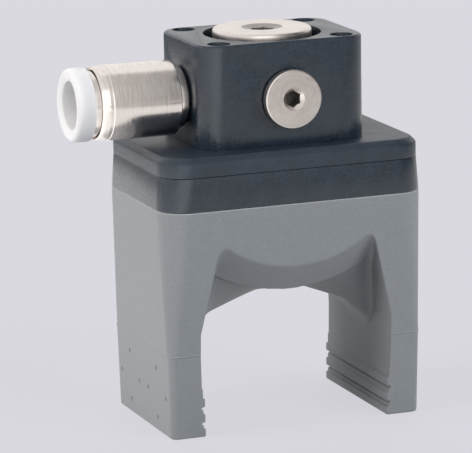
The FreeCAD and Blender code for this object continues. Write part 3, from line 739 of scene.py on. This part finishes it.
def elastomer(name):
    """Grey elastomer with a fine matt grain and painted highlights on the flash line and clamped rim.
    """
    material, tree, shader = new_material(name)
    rest = tree.nodes.new("ShaderNodeAttribute")
    rest.attribute_name = REST
    place = rest.outputs["Vector"]
    cloud = noise(tree, place, ELASTOMER_GRAIN / CLOUD_COARSER, detail=4.0)
    fine = noise(tree, place, ELASTOMER_GRAIN, detail=4.0)
    parts = parts_of(tree, place)
    outwards = maths(tree, "ABSOLUTE", parts["X"])
    on_face = between(tree, outwards, *(edge * MM for edge in HIGHLIGHT_FROM), 0.0, 1.0)
    # Painted highlight: pale on the outer faces along the flash line, and all round along the clamped
    # rim.
    flash = maths(tree, "MULTIPLY", painted_highlight_line(tree, parts["Z"], FLASH_HIGHLIGHT), on_face)
    pale = maths(tree, "MAXIMUM", flash, painted_highlight_line(tree, parts["Z"], CLAMPED_HIGHLIGHT))
    speckled = between(tree, blended(tree, fine, cloud, FINE_SHARE), *ELASTOMER_SPAN,
                       ELASTOMER_COLOUR, ELASTOMER_SPECK)
    feed(tree, shader, {
        "Base Color": mixture(tree, pale, speckled, ELASTOMER_HIGHLIGHT),
        "Roughness": between(tree, fine, *GRAIN_SPAN, *ELASTOMER_GLOSS),
        "Specular IOR Level": ELASTOMER_SHINE,
        "Normal": bump(tree, fine, *ELASTOMER_RELIEF)})
    return material


def dimple_tree(material):
    """Node tree that sets small balls on the corners of two diamonds in the YZ plane."""
    tree = bpy.data.node_groups.new("vent_dimples", "GeometryNodeTree")
    tree.interface.new_socket("Geometry", in_out="OUTPUT", socket_type="NodeSocketGeometry")
    for name in ("Ball size", "Diamond pitch", "Diamond half height", "Diamond half width"):
        tree.interface.new_socket(name, in_out="INPUT", socket_type="NodeSocketFloat")
    given = tree.nodes.new("NodeGroupInput").outputs
    square = added(tree, "GeometryNodeMeshCircle", {"Vertices": DIAMOND_CORNERS, "Radius": 1.0})
    shape = added(tree, "ShaderNodeCombineXYZ", {
        "X": given["Diamond half height"], "Y": given["Diamond half width"], "Z": 1.0})
    diamond = added(tree, "GeometryNodeTransform", {
        "Geometry": square.outputs["Mesh"], "Scale": shape.outputs["Vector"]})
    upright = added(tree, "GeometryNodeTransform", {
        "Geometry": diamond.outputs["Geometry"], "Rotation": (0.0, math.pi / 2, 0.0)})
    pitch = added(tree, "ShaderNodeCombineXYZ", {"Y": given["Diamond pitch"]}).outputs["Vector"]
    start = vector_maths(tree, "MULTIPLY", pitch, (-0.5, -0.5, -0.5)).outputs["Vector"]
    row = added(tree, "GeometryNodeMeshLine", {
        "Count": DIAMOND_COUNT, "Start Location": start, "Offset": pitch})
    diamonds = added(tree, "GeometryNodeInstanceOnPoints", {
        "Points": row.outputs["Mesh"], "Instance": upright.outputs["Geometry"]})
    corners = added(tree, "GeometryNodeRealizeInstances", {
        "Geometry": diamonds.outputs["Instances"]})
    radius = maths(tree, "MULTIPLY", given["Ball size"], 0.5)
    ball = added(tree, "GeometryNodeMeshIcoSphere", {
        "Subdivisions": BALL_DIVISIONS, "Radius": radius})
    balls = added(tree, "GeometryNodeInstanceOnPoints", {
        "Points": corners.outputs["Geometry"], "Instance": ball.outputs["Mesh"]})
    whole = added(tree, "GeometryNodeRealizeInstances", {"Geometry": balls.outputs["Instances"]})
    paint = added(tree, "GeometryNodeSetMaterial", {
        "Geometry": whole.outputs["Geometry"], "Material": material})
    added(tree, "NodeGroupOutput", {"Geometry": paint.outputs["Geometry"]})
    return tree


def evaluated_mesh(item):
    """Plain mesh of an object with its modifiers; the object is removed."""
    mesh = bpy.data.meshes.new_from_object(item.evaluated_get(
        bpy.context.evaluated_depsgraph_get()))
    bpy.data.objects.remove(item)
    return mesh


def made_by(tree, values, name):
    """Plain mesh that a node tree gives, each input set by its socket's identifier."""
    item = linked(bpy.data.meshes.new(name), name)
    nodes = item.modifiers.new("nodes", "NODES")
    nodes.node_group = tree
    for socket in tree.interface.items_tree:
        if socket.in_out == "INPUT":
            nodes[socket.identifier] = values[socket.name]
    return evaluated_mesh(item)


def dimpled(mesh, balls):
    """A mesh with the balls cut out of it."""
    cutter = linked(balls, "dimple_balls")
    blank = linked(mesh, "half_blank")
    cut = blank.modifiers.new("dimples", "BOOLEAN")
    cut.operation = "DIFFERENCE"
    cut.solver = "MANIFOLD"
    cut.object = cutter
    mesh = evaluated_mesh(blank)
    bpy.data.objects.remove(cutter)
    return mesh


def set_rest(mesh):
    """Store each point's resting place for the material."""
    places = np.empty(len(mesh.vertices) * 3, dtype=np.float32)
    mesh.vertices.foreach_get("co", places)
    mesh.attributes.new(REST, "FLOAT_VECTOR", "POINT").data.foreach_set("vector", places)


grey = elastomer("grey_elastomer_grain")
grid = [grid_line(spans) for spans in (GRID_X, GRID_Y, GRID_Z)]
points, quads = skin_of(casting, grid)
half_mesh = half_casting("half_casting", settled(points, casting), quads)
half_mesh.materials.append(grey)
balls = made_by(dimple_tree(grey), {
    "Ball size": DIMPLE_SIZE * MM, "Diamond pitch": DIMPLE_PITCH * MM,
    "Diamond half height": DIMPLE_SPREAD[1] * MM, "Diamond half width": DIMPLE_SPREAD[0] * MM,
}, "dimple_balls")
balls.transform(Matrix.Translation((DIMPLE_AT[0] * MM, 0.0, DIMPLE_AT[1] * MM))
                @ Matrix.Rotation(math.radians(DIMPLE_LEAN), 4, "Y"))
half_mesh = dimpled(half_mesh, balls)
for side, word in ((1, "right"), (-1, "left")):
    mesh = half_mesh.copy()
    mesh.transform(Matrix.Diagonal((side, 1.0, 1.0, 1.0)))
    if side < 0:
        mesh.flip_normals()
    mesh.shade_smooth()
    mesh.set_sharp_from_angle(angle=math.radians(CREASE_FROM))
    set_rest(mesh)
    piece = linked(mesh, f"{word}_casting")
    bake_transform(piece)
    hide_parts(f"{word}_finger", "palm")

# Push-in fitting
# A nickel-plated turned body screwed into the block against a thin seal, with a guide sleeve
# pressed into its mouth. Turning left fine lines around it. A white plastic ring slides in the
# sleeve and frees the tube when pushed; a rubber seal and spring claws sit behind it.
FITTING_AXIS = 0
FITTING_CENTRE = (0.0, 0.0, -8.05)
FITTING_ROUGHNESS = 0.2
FITTING_LINES = (3000.0, 0.011)
NICKEL_COLOUR = (0.785, 0.722, 0.685)
NICKEL_PALE = (0.895, 0.83, 0.795)
NICKEL_SPAN = (0.38, 0.62)
NICKEL_GLOSS = (0.85, 1.2)
LINE_SPAN = (0.35, 0.65)
LINE_STRENGTH = 0.6
LINE_SHARE = 0.6
SMUDGE_GRAIN = 420.0
STROKE_BREAK = 0.35
WHITE_COLOUR = (0.96, 0.945, 0.915)
WHITE_PALE = (0.985, 0.97, 0.945)
WHITE_GRAIN = 900.0
WHITE_ROUGHNESS = 0.42
WHITE_SHINE = 0.9
WHITE_DEPTH = 0.5
WHITE_REACH = 1.2
WHITE_TINT = (1.0, 0.98, 0.92)
AROUND = 144
TURNED_SHARP = 40.0
EDGE_EASE = 0.06
SMALL_EASE = {"most": 0.4, "steps": 3}
OWN_EASE = {"most": 0.9, "steps": 10}

# Corners of the turned profiles: place along the axis, radius and, where it is a large one, the
# size of its own rounding.
FITTING_PROFILE = [
    (-8.5, 1.3), (-8.5, 2.475), (-12.5, 2.475), (-12.5, 4.3), (-13.62, 4.34), (-13.7, 4.1),
    (-13.75, 5.12), (-13.83, 5.23), (-23.5, 5.23), (-23.53, 5.18), (-24.0, 5.16),
    (-24.5, 5.09), (-24.9, 5.02), (-25.1, 4.95), (-25.18, 4.88), (-24.3, 4.86), (-24.3, 4.6),
    (-18.4, 4.6), (-18.4, 4.2), (-16.4, 4.2), (-16.4, 3.05), (-14.6, 3.05), (-14.6, 1.3)]
GUIDE_PROFILE = [
    (-19.6, 4.05), (-19.6, 4.6), (-26.6, 4.6), (-26.6, 3.85), (-22.3, 3.85), (-22.3, 4.05)]
RING_PROFILE = [
    (-20.5, 3.05), (-20.5, 3.98), (-22.2, 3.98), (-22.2, 3.78), (-27.6, 3.78), (-27.6, 4.7),
    (-26.1, 4.7), (-26.1, 5.1), (-28.6, 5.1, 0.9), (-28.6, 4.05), (-28.2, 3.35), (-25.5, 3.05)]


def eased(profile, closed=True):
    """A row of corners, each rounded a little, or by its own third number."""
    corners = [np.array(corner[:2], dtype=float) for corner in profile]
    last = len(corners) - 1
    row = []
    for index, corner in enumerate(corners):
        if not closed and index in (0, last):
            row.append(corner)
            continue
        own = len(profile[index]) > 2
        size = profile[index][2] if own else EDGE_EASE
        ease = OWN_EASE if own else SMALL_EASE
        ways = [corners[index - 1] - corner, corners[(index + 1) % len(corners)] - corner]
        start, end = (corner + way * min(size / np.hypot(*way), ease["most"]) for way in ways)
        for share in np.linspace(0.0, 1.0, ease["steps"] + 1):
            row.append(start * (1 - share) ** 2 + corner * 2 * share * (1 - share)
                       + end * share ** 2)
    return row


def lathe(name, axis, centre, along, radius, closed, sharp):
    """Mesh of rings around an axis; along and radius give each ring, for all angles or one by one."""
    along, radius = np.broadcast_arrays(along, radius)
    rings = along.shape[0]
    angles = np.arange(AROUND) * 2 * math.pi / AROUND
    spread = np.zeros((rings, AROUND, 3))
    spread[:, :, axis] = along
    spread[:, :, (axis + 1) % 3] = radius * np.cos(angles)
    spread[:, :, (axis + 2) % 3] = radius * np.sin(angles)
    points = (spread.reshape(-1, 3) + np.array(centre)) * MM
    faces = []
    for ring in range(rings if closed else rings - 1):
        following = (ring + 1) % rings
        for step in range(AROUND):
            onward = (step + 1) % AROUND
            faces.append((ring * AROUND + step, ring * AROUND + onward,
                          following * AROUND + onward, following * AROUND + step))
    mesh = bpy.data.meshes.new(name)
    mesh.from_pydata(points, [], faces)
    form = bmesh.new()
    form.from_mesh(mesh)
    bmesh.ops.remove_doubles(form, verts=form.verts, dist=SAME_PLACE * MM)
    bmesh.ops.recalc_face_normals(form, faces=form.faces)
    form.to_mesh(mesh)
    form.free()
    mesh.shade_smooth()
    mesh.set_sharp_from_angle(angle=math.radians(sharp))
    return mesh


def turned(name, profile):
    """Piece turned around the fitting's axis from the corners of its profile."""
    row = np.array(eased(profile))
    mesh = lathe(name, FITTING_AXIS, FITTING_CENTRE, row[:, :1], row[:, 1:], True, TURNED_SHARP)
    return linked(mesh, name)


def turning_place(tree, axis, centre):
    """Place along the axis, distance from it, and a little of the way round, as a vector."""
    shift = vector_maths(tree, "SUBTRACT", object_place(tree), [value * MM for value in centre])
    across = vector_maths(tree, "MULTIPLY", shift.outputs["Vector"],
                          [0.0 if k == axis else 1.0 for k in range(3)])
    distance = vector_maths(tree, "LENGTH", across.outputs["Vector"]).outputs["Value"]
    parts = parts_of(tree, shift.outputs["Vector"])
    return added(tree, "ShaderNodeCombineXYZ", {
        "X": parts[axis], "Y": distance,
        "Z": maths(tree, "MULTIPLY", parts[(axis + 1) % 3], STROKE_BREAK)}).outputs["Vector"]


def turned_nickel(name, axis, centre, roughness, lines, shade=1.0):
    """Nickel-plated metal with fine turning lines around an axis."""
    colours = [tuple(part * shade for part in colour) for colour in (NICKEL_COLOUR, NICKEL_PALE)]
    line_grain, line_depth = lines
    material, tree, shader = new_material(name)
    line = noise(tree, turning_place(tree, axis, centre), line_grain, detail=3.0)
    smudge = noise(tree, object_place(tree), SMUDGE_GRAIN, detail=3.0)
    gloss = [roughness * part for part in NICKEL_GLOSS]
    feed(tree, shader, {
        "Metallic": 1.0,
        "Base Color": between(tree, blended(tree, line, smudge, LINE_SHARE), *NICKEL_SPAN, *colours),
        "Roughness": between(tree, line, *LINE_SPAN, *gloss),
        "Normal": bump(tree, line, LINE_STRENGTH, line_depth)})
    return material


def ring_plastic(name):
    """White plastic that lets a little light in."""
    material, tree, shader = new_material(name)
    speckle = noise(tree, object_place(tree), WHITE_GRAIN, detail=3.0)
    feed(tree, shader, {
        "Base Color": between(tree, speckle, *GRAIN_SPAN, WHITE_COLOUR, WHITE_PALE),
        "Roughness": WHITE_ROUGHNESS, "Specular IOR Level": WHITE_SHINE,
        "Subsurface Weight": WHITE_DEPTH, "Subsurface Radius": WHITE_TINT,
        "Subsurface Scale": WHITE_REACH * MM})
    return material


fitting_metal = turned_nickel("fitting_nickel", FITTING_AXIS, FITTING_CENTRE,
                              FITTING_ROUGHNESS, FITTING_LINES)
put(turned("fitting_shell", FITTING_PROFILE), "fitting_body", "base", fitting_metal)
put(turned("guide_band", GUIDE_PROFILE), "guide_sleeve", "base", fitting_metal)
finish_inner(rubber, "fitting_washer", "tube_seal")
finish_inner(steel, "tube_claws")
put(turned("ring_shell", RING_PROFILE), "release_ring", "release_ring",
    ring_plastic("white_ring_plastic"))

# Front plug and top plug
# Two nickel-plated screw plugs that close the spare ports, each on a rubber seal. Each has a
# broad turned face and a cone that leads into a hexagonal socket, whose dark inside is painted shade.
# The socket's dark colours are painted shade.
SOCKET_SHADE_COLOUR = (0.10, 0.09, 0.08)
SOCKET_SHADE_PALE = (0.15, 0.135, 0.12)
SOCKET_GRAIN = 2200.0
SOCKET_ROUGHNESS = 0.55
HEXAGON_PART = 60.0
CONE_EDGE = 0.05
SLOPING = (0.2, 0.999)
BELOW_FACE = 0.02
PLUG_SHARP = 25.0
PLUG_ROUGHNESS = 0.36
PLUG_LINES = (2600.0, 0.005)

# Each plug has its axis, the way in along it and its centre, its levels along the axis, its radii
# and the rounding of its edge, the cone's fall for each millimetre inwards, the hexagon's width,
# the socket's depth, and the shades of its metal; the cone's darker shade is painted shade.
FRONT_PLUG = {
    "piece": "front_screw", "axis": 1, "inwards": 1.0, "centre": (0.55, 0.0, -7.88),
    "face": -10.3, "seat": -9.2, "back": -5.1, "radius": 4.1, "edge": 0.25, "thread": 2.475,
    "cone": 1.55, "cone_fall": 1.0, "hexagon": 2.1, "socket": 2.3, "shade": 0.82,
    "cone_painted_shade": 0.9}
TOP_PLUG = {
    "piece": "top_screw", "axis": 2, "inwards": -1.0, "centre": (0.0, 0.0, 0.0),
    "face": 0.75, "seat": -1.9, "back": -6.2, "radius": 6.9, "edge": 0.6, "thread": 4.825,
    "cone": 2.9, "cone_fall": 0.3, "hexagon": 3.0, "socket": 2.4, "shade": 0.95,
    "cone_painted_shade": 0.42}


def plug_mesh(plug):
    """Mesh of a screw plug: thread, broad head, cone and hexagonal socket."""
    angles = np.degrees(np.arange(AROUND) * 2 * math.pi / AROUND)
    hexagon = plug["hexagon"] / 2 / np.cos(np.radians(angles % HEXAGON_PART - HEXAGON_PART / 2))
    inwards, face, cone = plug["inwards"], plug["face"], plug["cone"]
    outside = eased([
        (plug["back"], 0.0), (plug["back"], plug["thread"]), (plug["seat"], plug["thread"]),
        (plug["seat"], plug["radius"]), (face, plug["radius"], plug["edge"]),
        (face, cone + CONE_EDGE), (face, cone)], closed=False)
    bottom = face + plug["socket"] * inwards
    slope = plug["cone_fall"] * inwards
    rings = [*outside,
             (face + CONE_EDGE * slope, cone - CONE_EDGE),
             (face + (cone - hexagon) * slope, hexagon),
             (bottom, hexagon),
             (bottom, 0.0)]
    along, radius = (np.array([np.broadcast_to(ring[part], AROUND) for ring in rings])
                     for part in (0, 1))
    return lathe(plug["piece"], plug["axis"], plug["centre"], along, radius, False, PLUG_SHARP)


def painted_socket_shade(name):
    """Dark metal, painted shade in the socket's hollow."""
    material, tree, shader = new_material(name)
    socket_speckle = noise(tree, object_place(tree), SOCKET_GRAIN, detail=3.0)
    feed(tree, shader, {
        "Base Color": between(tree, socket_speckle, *GRAIN_SPAN, SOCKET_SHADE_COLOUR, SOCKET_SHADE_PALE),
        "Roughness": SOCKET_ROUGHNESS})
    return material


def mark_socket(mesh, plug):
    """Give the socket's faces the second material of a plug, and its cone's faces the third."""
    axis = plug["axis"]
    centre = Vector(plug["centre"])
    centre[axis] = 0.0
    for face in mesh.polygons:
        middle = face.center / MM - centre
        depth = (middle[axis] - plug["face"]) * plug["inwards"]
        middle[axis] = 0.0
        if middle.length < plug["cone"] and BELOW_FACE < depth < plug["socket"] + CONE_EDGE:
            slopes = SLOPING[0] < abs(face.normal[axis]) < SLOPING[1]
            face.material_index = 2 if slopes else 1


finish_inner(rubber, "front_plug_seal", "top_plug_seal")
# Painted shade for the insides of the sockets.
socket_painted_shade = painted_socket_shade("socket_painted_shade")
for node, plug in (("front_plug", FRONT_PLUG), ("top_plug", TOP_PLUG)):
    name = plug["piece"]
    finish = (plug["axis"], plug["centre"], PLUG_ROUGHNESS, PLUG_LINES)
    piece = linked(plug_mesh(plug), name)
    put(piece, node, "base", turned_nickel(f"{name}_nickel", *finish, plug["shade"]))
    piece.data.materials.append(socket_painted_shade)
    # The cone's darker nickel is painted shade for the dim light that it mirrors.
    piece.data.materials.append(turned_nickel(f"{name}_cone", *finish, plug["cone_painted_shade"]))
    mark_socket(piece.data, plug)
